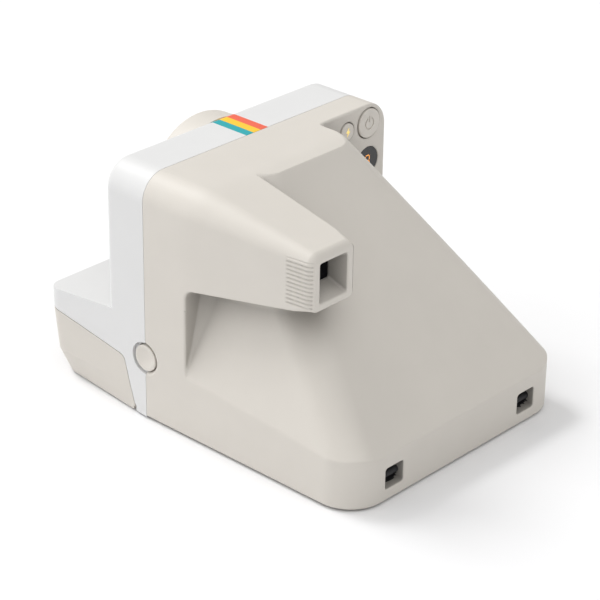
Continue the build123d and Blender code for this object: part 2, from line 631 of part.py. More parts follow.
with BuildPart() as lens_barrel:
    with BuildSketch(Plane.YZ):
        with BuildLine():
            Polyline((FACE_Y, 26.2), (LENS_FRONT_Y, LENS_R), (LENS_FRONT_Y, 20.5), (-51.0, 19.6),
                     (-51.0, 18.0), (-38.2, 18.0), (-38.2, 20.9), (FACE_Y, 20.9), close=True)
        make_face()
    revolve(axis=Axis((0, 0, 0), (0, 1, 0)))
    fillet(lens_barrel.edges().group_by(Axis.Y)[0].sort_by(SortBy.LENGTH)[-1], 2.4)
    fillet(lens_barrel.edges().group_by(Axis.Y)[0].sort_by(SortBy.LENGTH)[0], 0.6)
    lens_turned = lens_barrel.part
with BuildPart() as lens_barrel:
    add(lens_turned.moved(Location((0, 0, LENS_Z))))
lens_barrel.part.label = "lens_barrel"
export_step(lens_barrel.part, "parts/lens_barrel.step")

with BuildPart() as lens_bezel:
    with BuildSketch(Plane.YZ):
        with BuildLine():
            Polyline((-51.02, 19.4), (-51.6, 19.4), (-50.0, 9.0), (-47.0, 8.0), (-39.0, 8.0),
                     (-39.0, 18.0 - SNUG), (-51.02, 18.0 - SNUG), close=True)
        make_face()
    revolve(axis=Axis((0, 0, 0), (0, 1, 0)))
    bezel_turned = lens_bezel.part
with BuildPart() as lens_bezel:
    add(bezel_turned.moved(Location((0, 0, LENS_Z))))
lens_bezel.part.label = "lens_bezel"
export_step(lens_bezel.part, "parts/lens_bezel.step")

LENS_BORE_R = 8.0


def domed_lens(flat_y, crown_y, dome_r):
    """Adds a lens with one flat side and one domed side to the piece being built."""
    low, high = sorted((flat_y, crown_y))
    bar_y(0, LENS_Z, LENS_BORE_R - SNUG, low, high)
    centre_y = crown_y + dome_r if crown_y < flat_y else crown_y - dome_r
    with Locations((0, centre_y, LENS_Z)):
        Sphere(dome_r, mode=Mode.INTERSECT)


with BuildPart() as front_lens:
    domed_lens(-46.0, -48.9, 19.7)
front_lens.part.label = "front_lens"
export_step(front_lens.part, "parts/front_lens.step")

with BuildPart() as rear_lens:
    domed_lens(-41.8, -39.3, 30.0)
rear_lens.part.label = "rear_lens"
export_step(rear_lens.part, "parts/rear_lens.step")

BLADE_PIVOT_X, BLADE_PIVOT_Z = 17.0, 52.0
BLADE_PIN_R = 1.0
BLADE_THICK = 0.4
BLADE_A_Y = -34.9
BLADE_B_Y = -34.1
APERTURE_R = 7.0

with BuildPart() as shutter_frame:
    window_block(0, LENS_Z, 48, 43, 3, -37.9, -35.4)
    bar_y(0, LENS_Z, APERTURE_R, -40, -30, Mode.SUBTRACT)
    for side in (-1, 1):
        bar_y(side * BLADE_PIVOT_X, BLADE_PIVOT_Z, BLADE_PIN_R, -35.6, -33.2)
shutter_frame.part.label = "shutter_frame"
export_step(shutter_frame.part, "parts/shutter_frame.step")


def blade(side, front_y, label):
    """Makes one shutter blade: a disc over the aperture on an arm from its pivot."""
    pivot = (side * BLADE_PIVOT_X, BLADE_PIVOT_Z)
    with BuildPart() as leaf:
        with BuildSketch(Plane.XZ.offset(-front_y - BLADE_THICK)):
            with Locations((0, LENS_Z)):
                Circle(APERTURE_R + 1.5)
            with Locations(pivot):
                Circle(3.0)
            with BuildLine():
                Polyline(pivot, (pivot[0] + 2.4, pivot[1] + side * 1.8), (2.4, LENS_Z + side * 1.8),
                         (-2.4, LENS_Z - side * 1.8), (pivot[0] - 2.4, pivot[1] - side * 1.8), close=True)
            make_face()
            with Locations(pivot):
                Circle(BLADE_PIN_R + RUNNING, mode=Mode.SUBTRACT)
        extrude(amount=BLADE_THICK)
    leaf.part.label = label
    export_step(leaf.part, f"parts/{label}.step")


blade(-1, BLADE_A_Y, "shutter_blade_left")
blade(1, BLADE_B_Y, "shutter_blade_right")

# ---------------------------------------------------------------- flash

with BuildPart() as flash_window:
    window_block(FLASH_X, FLASH_Z, FLASH_SIZE[0] - 2 * SNUG, FLASH_SIZE[1] - 2 * SNUG, 2.5,
                 FACE_Y, FACE_Y + 1.6)
    fillet(flash_window.edges().group_by(Axis.Y)[0], 0.4)
flash_window.part.label = "flash_window"
export_step(flash_window.part, "parts/flash_window.step")

with BuildPart() as flash_reflector:
    with BuildSketch(Plane.XZ.offset(-FACE_Y - 1.7)):
        with Locations((FLASH_X, FLASH_Z)):
            RectangleRounded(FLASH_SIZE[0] - 0.4, FLASH_SIZE[1] - 0.4, 2)
    with BuildSketch(Plane.XZ.offset(-FACE_Y - 9)):
        with Locations((FLASH_X, FLASH_Z)):
            RectangleRounded(FLASH_SIZE[0] - 4, 7, 2)
    loft()
    with BuildSketch(Plane.XZ.offset(-FACE_Y - 1.7)):
        with Locations((FLASH_X, FLASH_Z)):
            RectangleRounded(FLASH_SIZE[0] - 1.8, FLASH_SIZE[1] - 1.8, 1.6)
    with BuildSketch(Plane.XZ.offset(-FACE_Y - 8.2)):
        with Locations((FLASH_X, FLASH_Z)):
            RectangleRounded(FLASH_SIZE[0] - 5.4, 5.4, 1.6)
    loft(mode=Mode.SUBTRACT)
flash_reflector.part.label = "flash_reflector"
export_step(flash_reflector.part, "parts/flash_reflector.step")

with BuildPart() as flash_tube:
    bar_x(FACE_Y + 6.4, FLASH_Z, 1.2, FLASH_X - 9.5, FLASH_X + 9.5)
flash_tube.part.label = "flash_tube"
export_step(flash_tube.part, "parts/flash_tube.step")

with BuildPart() as flash_capacitor:
    bar_x(-25, 39.5, 6.0, -17, 17)
    fillet(flash_capacitor.edges(), 1.0)
flash_capacitor.part.label = "flash_capacitor"
export_step(flash_capacitor.part, "parts/flash_capacitor.step")

# ---------------------------------------------------------------- viewfinder

with BuildPart() as finder_window:
    window_block(FRONT_WINDOW_X, FRONT_WINDOW_Z, FRONT_WINDOW_SIZE[0] - 2 * SNUG, FRONT_WINDOW_SIZE[1] - 2 * SNUG, 2.0,
                 FACE_Y + 0.3, FACE_Y + 1.8)
finder_window.part.label = "finder_window"
export_step(finder_window.part, "parts/finder_window.step")

with BuildPart() as finder_tunnel:
    with BuildSketch(Plane.XZ.offset(-FACE_Y - WALL - 0.1)):
        with Locations((FRONT_WINDOW_X, FRONT_WINDOW_Z)):
            RectangleRounded(15, 14, 1)
    with BuildSketch(Plane.XZ.offset(-40.6)):
        with Locations((EYE_X, EYE_Z)):
            RectangleRounded(12.8, 10, 1)
    loft()
    with BuildSketch(Plane.XZ.offset(-FACE_Y - WALL - 0.1)):
        with Locations((FRONT_WINDOW_X, FRONT_WINDOW_Z)):
            RectangleRounded(13, 12, 0.8)
    with BuildSketch(Plane.XZ.offset(-40.6)):
        with Locations((EYE_X, EYE_Z)):
            RectangleRounded(11.2, 8, 0.8)
    loft(mode=Mode.SUBTRACT)
finder_tunnel.part.label = "finder_tunnel"
export_step(finder_tunnel.part, "parts/finder_tunnel.step")

with BuildPart() as eyepiece_glass:
    window_block(EYE_X, EYE_Z, EYE_WINDOW[0] - 2 * SNUG, EYE_WINDOW[1] - 2 * SNUG, 0.78, 41.2, 42.6)
eyepiece_glass.part.label = "eyepiece_glass"
export_step(eyepiece_glass.part, "parts/eyepiece_glass.step")

# ---------------------------------------------------------------- buttons, lamp and display

with BuildPart() as shutter_button:
    bar_y(SHUTTER_X, SHUTTER_Z, SHUTTER_R, FACE_Y - 1.8, FACE_Y + 1.6)
    fillet(shutter_button.edges().group_by(Axis.Y)[0], 0.8)
    bar_y(SHUTTER_X, SHUTTER_Z, SHUTTER_R + 1.2, FACE_Y + WALL + 0.1, FACE_Y + WALL + 1.1)
    bar_y(SHUTTER_X, SHUTTER_Z, SHUTTER_R, FACE_Y + 1.6, FACE_Y + WALL + 0.1)
    bar_y(SHUTTER_X, SHUTTER_Z, 2.0, FACE_Y + WALL + 1.1, FACE_Y + WALL + 3.6)
shutter_button.part.label = "shutter_button"
export_step(shutter_button.part, "parts/shutter_button.step")

with BuildPart() as timer_button:
    bar_y(TIMER_X, TIMER_Z, TIMER_R, FACE_Y - 0.9, FACE_Y + WALL + 0.1)
    fillet(timer_button.edges().group_by(Axis.Y)[0], 0.5)
    bar_y(TIMER_X, TIMER_Z, TIMER_R + 1.0, FACE_Y + WALL + 0.1, FACE_Y + WALL + 1.1)
timer_button.part.label = "timer_button"
export_step(timer_button.part, "parts/timer_button.step")

with BuildPart() as power_button:
    bar_y(POWER_X, POWER_Z, POWER_R, PANEL_Y - WALL - 0.1, PANEL_Y + 0.5)
    fillet(power_button.edges().group_by(Axis.Y)[-1], 0.4)
    with BuildSketch(Plane.XZ.offset(-PANEL_Y - 0.2)):
        with Locations((POWER_X, POWER_Z)):
            Circle(2.4)
            Circle(1.9, mode=Mode.SUBTRACT)
            with Locations((0, 2.4)):
                Rectangle(1.7, 2.2, mode=Mode.SUBTRACT)
            with Locations((0, 1.7)):
                Rectangle(0.5, 2.6)
    extrude(amount=-1, mode=Mode.SUBTRACT)
    bar_y(POWER_X, POWER_Z, POWER_R - 0.9, PANEL_Y - WALL - 1.1, PANEL_Y - WALL - 0.1)
power_button.part.label = "power_button"
export_step(power_button.part, "parts/power_button.step")

with BuildPart() as flash_button:
    bar_y(FLASH_BUTTON_X, FLASH_BUTTON_Z, FLASH_BUTTON_R, PANEL_Y - WALL - 1.1, PANEL_Y + 0.5)
    fillet(flash_button.edges().group_by(Axis.Y)[-1], 0.4)
flash_button.part.label = "flash_button"
export_step(flash_button.part, "parts/flash_button.step")

with BuildPart() as flash_lamp:
    bar_y(LED_X, LED_Z, LED_R - SNUG, PANEL_Y - WALL, PANEL_Y + 0.1)
flash_lamp.part.label = "flash_lamp"
export_step(flash_lamp.part, "parts/flash_lamp.step")

DIGIT_HALF, DIGIT_HEIGHT, STROKE = 1.1, 2.1, 0.42


def digit_strokes():
    """A seven-stroke figure eight, drawn on XZ about its own middle."""
    with BuildSketch() as strokes:
        for z in (-DIGIT_HEIGHT, 0, DIGIT_HEIGHT):
            with Locations((0, z)):
                Rectangle(2 * DIGIT_HALF - STROKE - 0.1, STROKE)
        for x in (-DIGIT_HALF, DIGIT_HALF):
            for z in (-DIGIT_HEIGHT / 2, DIGIT_HEIGHT / 2):
                with Locations((x, z)):
                    Rectangle(STROKE, DIGIT_HEIGHT - STROKE - 0.1)
    return strokes.sketch


with BuildPart() as counter_digit:
    with BuildSketch(Plane.XZ.offset(-PANEL_Y + 0.2)):
        with Locations((COUNTER_X, COUNTER_Z)):
            add(digit_strokes())
    extrude(amount=0.4)
counter_digit.part.label = "counter_digit"
export_step(counter_digit.part, "parts/counter_digit.step")

with BuildPart() as counter_display:
    bar_y(COUNTER_X, COUNTER_Z, COUNTER_R - SNUG, PANEL_Y - 1.8, PANEL_Y - 0.2)
    with BuildSketch(Plane.XZ.offset(-PANEL_Y + 0.2)):
        with Locations((COUNTER_X, COUNTER_Z)):
            add(digit_strokes())
    extrude(amount=0.4, mode=Mode.SUBTRACT)
counter_display.part.label = "counter_display"
export_step(counter_display.part, "parts/counter_display.step")

with BuildPart() as release_button:
    bar_x(RELEASE_Y, RELEASE_Z, RELEASE_R, 51.6, HALF_WIDTH - 0.2)
    with Locations((HALF_WIDTH + 13.2, RELEASE_Y, RELEASE_Z)):
        Sphere(14.0, mode=Mode.SUBTRACT)
    fillet(release_button.edges().group_by(Axis.X)[-1].sort_by(SortBy.LENGTH)[-1], 0.3)
    bar_x(RELEASE_Y, RELEASE_Z, RELEASE_R + 1.0, 51.6, 52.8)
release_button.part.label = "release_button"
export_step(release_button.part, "parts/release_button.step")

with BuildPart() as door_latch:
    block((50.4, -33.0, 22.0), (51.55, -20.6, 26.4))
    block((50.4, -36.5, 24.6), (51.55, -33.0, 26.4))
door_latch.part.label = "door_latch"
export_step(door_latch.part, "parts/door_latch.step")

# ---------------------------------------------------------------- electronics

with BuildPart() as battery:
    block((24, -32, 31), (50, -8, 57))
    fillet(battery.edges().filter_by(Axis.X), 3.0)
battery.part.label = "battery"
export_step(battery.part, "parts/battery.step")

with BuildPart() as main_board:
    block((-52, -30.4, 50), (-31, -28.8, 86))
    block((-52, -28.8, 55), (-44, -27.2, 63))
    block((-42, -28.8, 68), (-34, -27.4, 74))
    block((-50, -28.8, 74), (-45, -26.6, 83))
main_board.part.label = "main_board"
export_step(main_board.part, "parts/main_board.step")

with BuildPart() as panel_board:
    block((-52, -19.2, 66), (-28, -17.8, 88))
panel_board.part.label = "panel_board"
export_step(panel_board.part, "parts/panel_board.step")

with BuildPart() as usb_port:
    block((-55.6, USB_Y - 1.5, USB_Z - 4.4), (-48.6, USB_Y + 1.5, USB_Z + 4.4))
    fillet(usb_port.edges().filter_by(Axis.X), 1.4)
    block((-56, USB_Y - 1.0, USB_Z - 3.9), (-49.4, USB_Y + 1.0, USB_Z + 3.9), Mode.SUBTRACT)
    block((-54.4, USB_Y - 0.35, USB_Z - 3.2), (-49.2, USB_Y + 0.35, USB_Z + 3.2))
usb_port.part.label = "usb_port"
export_step(usb_port.part, "parts/usb_port.step")
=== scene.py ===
"""Looks of the box-type instant camera: materials, the moulded rear skin, stage, lights and camera."""

import json
import math

import bpy
import numpy as np
from mathutils import Matrix, Vector


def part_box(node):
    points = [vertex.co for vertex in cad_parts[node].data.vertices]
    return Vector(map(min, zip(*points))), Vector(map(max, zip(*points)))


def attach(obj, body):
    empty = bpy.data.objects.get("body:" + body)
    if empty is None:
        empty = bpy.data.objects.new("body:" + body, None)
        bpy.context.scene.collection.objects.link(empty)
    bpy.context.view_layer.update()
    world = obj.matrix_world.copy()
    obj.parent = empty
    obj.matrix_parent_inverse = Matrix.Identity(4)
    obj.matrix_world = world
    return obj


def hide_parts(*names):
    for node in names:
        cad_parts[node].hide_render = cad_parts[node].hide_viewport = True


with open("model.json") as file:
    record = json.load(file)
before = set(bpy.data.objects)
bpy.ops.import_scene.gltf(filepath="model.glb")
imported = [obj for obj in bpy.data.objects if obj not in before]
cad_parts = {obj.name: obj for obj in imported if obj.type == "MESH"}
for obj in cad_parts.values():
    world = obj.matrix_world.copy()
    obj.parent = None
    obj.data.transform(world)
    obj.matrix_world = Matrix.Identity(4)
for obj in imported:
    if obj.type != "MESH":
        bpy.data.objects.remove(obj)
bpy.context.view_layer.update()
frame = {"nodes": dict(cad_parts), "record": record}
nodes = frame["nodes"]
MM = 0.001

# ---------------------------------------------------------------- sizes of the rear skin, in millimetres

rear_low, rear_high = (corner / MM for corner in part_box("rear_housing"))
HALF = rear_high.x
TOP = rear_high.z
BOTTOM = rear_low.z
SEAM = rear_low.y
REAR = rear_high.y
WALL = 2.2
FLOOR_EDGE = 1.0
SEAM_EDGE = 0.25
HOLE_EDGE = 0.45

# the base and the light cone that stands on it
BASE_FRONT = -80.0
BASE_CORNER = 14.0
SHOULDER_FRONT = 25.8
SHOULDER_REAR = 18.3
SHOULDER_MEAN = 22.0
SHOULDER_EDGE = 0.3
HUMP_HALF = 20.5
HUMP_WIDE = 30.0
HUMP_REAR = 5.0
HUMP_TOP_EDGE = 1.2
TOP_CORNER = 8.0
WIDE_CORNER = 10.0
FLANK_COS = math.cos(math.atan2(HALF - HUMP_HALF, TOP - SHOULDER_MEAN))
SLOPE_COS = math.cos(math.atan2(REAR - HUMP_REAR, TOP - SHOULDER_REAR))

# the tall box behind the seam
BOX_CORNER = 10.0
BOX_BELOW = 20.0
PANEL_Y = -12.0
PANEL_EDGE = 1.0
RECESS_Y = -3.5
RECESS_EDGE = 0.8

# the viewfinder: each pair is at the recess and at the eyepiece
EYEPIECE_Y = 50.0
EYEPIECE_SIDE = 50.2
EYEPIECE_TOP = 86.2
EYEPIECE_CORNER = 3.8
EYEPIECE_EDGE = 2.8
FINDER_INNER = (26.0, 30.2)
FINDER_UNDER = (57.6, 65.8)
FINDER_EDGE = 2.0
TOP_BEND_Y = HUMP_REAR - 4
BEND_EASE = 0.05
ENVELOPE_LOW = 50.0

# hollow fillets where the forms run into each other
# a fade says where a radius starts to change and over what length
RECESS_FILLET, RECESS_FILLET_TOP = 3.0, 0.5
RECESS_FADE_Z = (78.0, 6.0)
CONE_FILLET, CONE_FILLET_EDGE = 6.0, 1.0
CONE_FADE_X = (HALF - 12.0, 9.0)
CONE_FADE_Z = (66.0, 16.0)
EDGE_FADE_Y = (EYEPIECE_Y - 8.0, 6.0)
PANEL_FILLET = 1.5

# fine ribs on the outer side of the eyepiece
RIB_PITCH = 1.5
RIB_DEPTH = 0.42
RIB_SHARPNESS = 1.7
RIB_START_X = 45.2
RIB_START_Y = 39.0
RIB_LOW_Z, RIB_HIGH_Z = 66.6, 87.0


def box_middle(node):
    """The middle of a CAD node's box, in millimetres."""
    low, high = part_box(node)
    return (low + high) / 2 / MM


# ---------------------------------------------------------------- distance functions


def round_meet(a, b, radius):
    """Where both forms hold, with the edge between them rounded."""
    corner = np.hypot(np.maximum(radius + a, 0), np.maximum(radius + b, 0))
    return np.minimum(-radius, np.maximum(a, b)) + corner


def round_join(a, b, radius):
    """Where either form holds, with a hollow fillet between them."""
    corner = np.hypot(np.maximum(radius - a, 0), np.maximum(radius - b, 0))
    return np.maximum(radius, np.minimum(a, b)) - corner


def lerp(a, b, t):
    return a + (b - a) * t


def rounded_rectangle(u, v, half_u, half_v, corner):
    """Distance to a rectangle about the origin with rounded corners."""
    across = np.abs(u) - (half_u - corner)
    along = np.abs(v) - (half_v - corner)
    outside = np.hypot(np.maximum(across, 0), np.maximum(along, 0))
    return outside + np.minimum(np.maximum(across, along), 0) - corner


def tube(u, v, radius):
    return np.hypot(u, v) - radius


def base_wall(x, y):
    """The base's upright wall, seen from above."""
    middle = (REAR + BASE_FRONT) / 2
    return rounded_rectangle(x, y - middle, HALF, REAR - middle, BASE_CORNER)


def shoulder(y):
    return lerp(SHOULDER_FRONT, SHOULDER_REAR, (y - SEAM) / (REAR - SEAM))


def hump(x, y, z):
    """The light cone: level top, sloping back and two flanks."""
    rise = (z - shoulder(y)) / (TOP - shoulder(y))
    half_top = np.where(x > 0, HUMP_WIDE, HUMP_HALF)
    flank = (np.abs(x) - lerp(HALF, half_top, rise)) * FLANK_COS
    slope = (y - lerp(REAR, HUMP_REAR, (z - SHOULDER_REAR) / (TOP - SHOULDER_REAR))) * SLOPE_COS
    corner = np.where(x > 0, WIDE_CORNER, TOP_CORNER)
    sides = round_meet(flank, slope, corner)
    return round_meet(sides, z - TOP, HUMP_TOP_EDGE)


def ramp(y, start, end):
    """Rises from 0 before start to 1 at end, in a straight line after a soft beginning."""
    t = (y - start) / (end - start)
    return (t + np.sqrt(t * t + BEND_EASE * BEND_EASE)) / 2


def fade(value, start, length):
    """0 up to start, 1 past start + length, and straight between."""
    return np.clip((value - start) / length, 0, 1)


def box_outline(x, z):
    """The tall box from the front: upright sides, rounded top corners, its foot far below the camera."""
    half_height = TOP / 2 + BOX_BELOW
    return rounded_rectangle(x, z - TOP / 2 + BOX_BELOW, HALF, half_height, BOX_CORNER)


def envelope(x, y, z):
    """The box's top and sides, and how they run on into the viewfinder on one side."""
    along = ramp(y, RECESS_Y, EYEPIECE_Y)
    side = x - lerp(HALF, EYEPIECE_SIDE, along)
    top = z - lerp(TOP, EYEPIECE_TOP, ramp(y, TOP_BEND_Y, EYEPIECE_Y))
    hood = round_meet(side, top, lerp(BOX_CORNER, EYEPIECE_CORNER, np.clip(along, 0, 1)))
    return np.maximum(box_outline(x, z), np.minimum(hood, z - ENVELOPE_LOW))


def panel_block(x, y, z):
    """The part of the tall box behind the seam that ends in the control panel."""
    return round_meet(box_outline(x, z), y - PANEL_Y, PANEL_EDGE)


def recess_block(x, y):
    """The part of the tall box that ends in the recess under the viewfinder."""
    return np.maximum(y - RECESS_Y, -x)


def finder_block(x, y, z):
    """The viewfinder's inner side, underside and end; the envelope gives its outer side and top."""
    along = (y - RECESS_Y) / (EYEPIECE_Y - RECESS_Y)
    inner = lerp(*FINDER_INNER, along) - x
    under = lerp(*FINDER_UNDER, along) - z
    return np.maximum(round_meet(inner, under, FINDER_EDGE), y - EYEPIECE_Y)


def ribs(x, y, z):
    """Fine level grooves along the outer side of the eyepiece."""
    wave = np.abs(((z - RIB_LOW_Z) / RIB_PITCH) % 1 - 0.5) * 2
    groove = np.clip(1 - wave * RIB_SHARPNESS, 0, 1)
    side = fade(x, RIB_START_X, 0.8)
    band = fade(y, RIB_START_Y, 0.8) * (1 - fade(y, EYEPIECE_Y - 1, 0.5))
    height = fade(z, RIB_LOW_Z - 0.4, 0.5) * (1 - fade(z, RIB_HIGH_Z - 3.5, 0.5))
    return RIB_DEPTH * groove * side * band * height


def outer_form(x, y, z):
    """The rear housing's outside."""
    cone = round_meet(hump(x, y, z), base_wall(x, y), SHOULDER_EDGE)
    recess_fillet = lerp(RECESS_FILLET, RECESS_FILLET_TOP, fade(z, *RECESS_FADE_Z))
    hood = round_join(recess_block(x, y), finder_block(x, y, z), recess_fillet)
    hood_edge = lerp(RECESS_EDGE, EYEPIECE_EDGE, fade(y, *EDGE_FADE_Y))
    upper = round_meet(hood, envelope(x, y, z), hood_edge)
    towards_edge = np.maximum(fade(x, *CONE_FADE_X), fade(z, *CONE_FADE_Z))
    body = round_join(cone, upper, lerp(CONE_FILLET, CONE_FILLET_EDGE, towards_edge))
    body = round_join(body, panel_block(x, y, z), PANEL_FILLET)
    return np.maximum(body, envelope(x, y, z)) + ribs(x, y, z)


# ---------------------------------------------------------------- holes of the rear skin

STRAP_X = 35.3
STRAP_Z = 9.2
STRAP_HALF = (4.5, 4.0)
STRAP_CORNER, STRAP_DEPTH = 1.0, 6.5
EYE = box_middle("eyepiece_glass")
POWER = box_middle("power_button")
FLASH_KEY = box_middle("flash_button")
LAMP = box_middle("flash_lamp")
COUNTER = box_middle("counter_display")
RELEASE_Y = -23.8
RELEASE_Z = 24.2
RELEASE_BORE, RELEASE_DEPTH = 5.3, 9.0
RELEASE_FLARE, RELEASE_FLARE_DEPTH = 0.8, 1.1
SOCKET = box_middle("usb_port")
FUNNEL_DEPTH = 7.0
FUNNEL_MOUTH = (6.7, 7.5)
FUNNEL_THROAT = (5.5, 3.6)
FUNNEL_CORNER = 0.9
FUNNEL_FLARE = 0.3
FUNNEL_SHIFT = 0.5
FUNNEL_COS = 0.94
WINDOW_DEPTH = 12.0
PANEL_HOLES = ((POWER, 5.9), (FLASH_KEY, 3.6), (LAMP, 0.95), (COUNTER, 5.55))
PANEL_HOLE_DEPTH = 6.0
SOCKET_HALF = (1.7, 4.6)
SOCKET_CORNER, SOCKET_DEPTH = 1.2, 6.0
LINER = 1.6


def eyepiece_funnel(x, y, z):
    """The opening that narrows to the eyepiece's window."""
    into = np.clip((EYEPIECE_Y - y) / FUNNEL_DEPTH, -FUNNEL_FLARE, 1)
    half_u = lerp(FUNNEL_MOUTH[0], FUNNEL_THROAT[0], into)
    half_v = lerp(FUNNEL_MOUTH[1], FUNNEL_THROAT[1], into)
    middle_x = lerp(EYE.x - FUNNEL_SHIFT, EYE.x, into)
    funnel = rounded_rectangle(x - middle_x, z - EYE.z, half_u, half_v, FUNNEL_CORNER)
    return np.maximum(funnel * FUNNEL_COS, EYEPIECE_Y - WINDOW_DEPTH - y)


def strap_slots(x, y, z):
    """The two slots in the rear wall."""
    slots = rounded_rectangle(np.abs(x) - STRAP_X, z - STRAP_Z, *STRAP_HALF, STRAP_CORNER)
    return np.maximum(slots, REAR - STRAP_DEPTH - y)


def panel_holes(x, y, z):
    """The round holes in the control panel."""
    holes = [tube(x - spot.x, z - spot.z, radius) for spot, radius in PANEL_HOLES]
    return np.maximum(np.minimum.reduce(holes), PANEL_Y - PANEL_HOLE_DEPTH - y)


def release_bore(x, y, z):
    """The release button's bore, wider at its mouth."""
    flare = np.clip(x - HALF + RELEASE_FLARE_DEPTH, 0, 2) * RELEASE_FLARE
    bore = tube(y - RELEASE_Y, z - RELEASE_Z, RELEASE_BORE + flare)
    return np.maximum(bore, HALF - RELEASE_DEPTH - x)


def socket_opening(x, y, z):
    """The charging socket's opening."""
    socket = rounded_rectangle(y - SOCKET.y, z - SOCKET.z, *SOCKET_HALF, SOCKET_CORNER)
    return np.maximum(socket, x + HALF - SOCKET_DEPTH)


def pockets(x, y, z):
    """Everything cut into the skin from outside."""
    found = eyepiece_funnel(x, y, z)
    for opening in (strap_slots, panel_holes, release_bore, socket_opening):
        found = np.minimum(found, opening(x, y, z))
    return found


def inner_form(x, y, z):
    """The hollow inside the shell, open below and towards the seam."""
    cone = np.maximum(hump(x, y, z), base_wall(x, y))
    upper = np.maximum(np.minimum(recess_block(x, y), finder_block(x, y, z)), envelope(x, y, z))
    return np.minimum(np.minimum(cone, panel_block(x, y, z)), upper) + WALL


def rear_shell(x, y, z):
    """The whole moulded shell."""
    cuts = pockets(x, y, z)
    solid = round_meet(outer_form(x, y, z), BOTTOM - z, FLOOR_EDGE)
    hollow = np.maximum(inner_form(x, y, z), LINER - cuts)
    shell = np.maximum(solid, -hollow)
    shell = round_meet(shell, -cuts, HOLE_EDGE)
    return round_meet(shell, SEAM - y, SEAM_EDGE)


# ---------------------------------------------------------------- turning a distance function into a mesh

NEAR_CORNER = 0.7
NORMAL_REACH = 0.05


def spaced(stops):
    """Grid lines whose spacing changes at the given stops: (from, to, step)."""
    lines = [np.linspace(a, b, max(2, round((b - a) / step) + 1))[:-1] for a, b, step in stops]
    return np.append(np.concatenate(lines), stops[-1][1])


def crossed_edges(inside, axis):
    """The grid edges along an axis whose ends lie on different sides of the surface."""
    low = [slice(None)] * 3
    high = [slice(None)] * 3
    low[axis], high[axis] = slice(None, -1), slice(1, None)
    return np.argwhere(inside[tuple(low)] != inside[tuple(high)])


def beside(edges, u, v, du, dv):
    """The cells on one side of each edge, du and dv steps back along the axes u and v."""
    cells = edges.copy()
    cells[:, u] -= du
    cells[:, v] -= dv
    return cells


def crossing_points(field, lines, edges, axis):
    """Where the surface cuts each edge, by straight interpolation."""
    ahead = edges.copy()
    ahead[:, axis] += 1
    a = field[tuple(edges.T)]
    b = field[tuple(ahead.T)]
    points = np.stack([lines[k][edges[:, k]] for k in range(3)], 1)
    step = lines[axis][ahead[:, axis]] - lines[axis][edges[:, axis]]
    points[:, axis] += step * a / (a - b)
    return points


def net_points(field, lines, inside):
    """One point in each cell that the surface passes through, and the cells' numbers."""
    cells = tuple(n - 1 for n in field.shape)
    total = np.zeros(cells + (3,), np.float32)
    count = np.zeros(cells, np.int16)
    for axis in range(3):
        edges = crossed_edges(inside, axis)
        points = crossing_points(field, lines, edges, axis)
        u, v = [k for k in range(3) if k != axis]
        for du, dv in ((0, 0), (0, 1), (1, 0), (1, 1)):
            cell = beside(edges, u, v, du, dv)
            good = np.all((cell >= 0) & (cell < cells), 1)
            where = tuple(cell[good].T)
            np.add.at(total, where, points[good])
            np.add.at(count, where, 1)
    used = count > 0
    number = np.full(cells, -1, np.int32)
    number[used] = np.arange(used.sum())
    return total[used] / count[used][:, None], number


def net_quads(inside, number):
    """One quad across each crossed edge, facing outwards."""
    quads = []
    for axis in range(3):
        edges = crossed_edges(inside, axis)
        u, v = (axis + 1) % 3, (axis + 2) % 3
        around = [beside(edges, u, v, du, dv) for du, dv in ((0, 0), (1, 0), (1, 1), (0, 1))]
        ring = np.stack([number[tuple(cell.T)] for cell in around], 1)
        flip = ~inside[tuple(edges.T)]
        ring[flip] = ring[flip][:, ::-1]
        quads.append(ring)
    return np.concatenate(quads)


def surface_net(form, xs, ys, zs):
    """A mesh of quads close to the form's surface."""
    field = np.empty((len(xs), len(ys), len(zs)), np.float32)
    for i, x in enumerate(xs):
        field[i] = form(x, ys[:, None], zs[None, :])
    inside = field < 0
    points, number = net_points(field, (xs, ys, zs), inside)
    return points, net_quads(inside, number)


def gradient(form, points, reach=0.02):
    """The distance function's slope at each point."""
    found = np.empty(points.shape)
    for axis in range(3):
        ahead, behind = points.copy(), points.copy()
        ahead[:, axis] += reach
        behind[:, axis] -= reach
        found[:, axis] = (form(*ahead.T) - form(*behind.T)) / (2 * reach)
    return found


def onto_surface(form, points, rounds=3, most=0.4):
    """Moves points along the slope until they are on the surface."""
    points = points.astype(float)
    for _ in range(rounds):
        slope = gradient(form, points)
        length = np.maximum((slope ** 2).sum(1), 0.2)
        step = slope * (form(*points.T) / length)[:, None]
        far = np.maximum(np.linalg.norm(step, axis=1) / most, 1)
        points -= step / far[:, None]
    return points


def corner_normals(form, triangles):
    """A normal for each corner, carried on from inside its triangle so that an edge stays crisp."""
    middle = triangles.mean(1)
    near = middle[:, None] + (triangles - middle[:, None]) * NEAR_CORNER
    at_middle = gradient(form, middle, NORMAL_REACH)[:, None]
    at_near = gradient(form, near.reshape(-1, 3), NORMAL_REACH).reshape(-1, 3, 3)
    normals = (at_middle + (at_near - at_middle) / NEAR_CORNER).reshape(-1, 3)
    return normals / np.maximum(np.linalg.norm(normals, axis=1), 1e-6)[:, None]


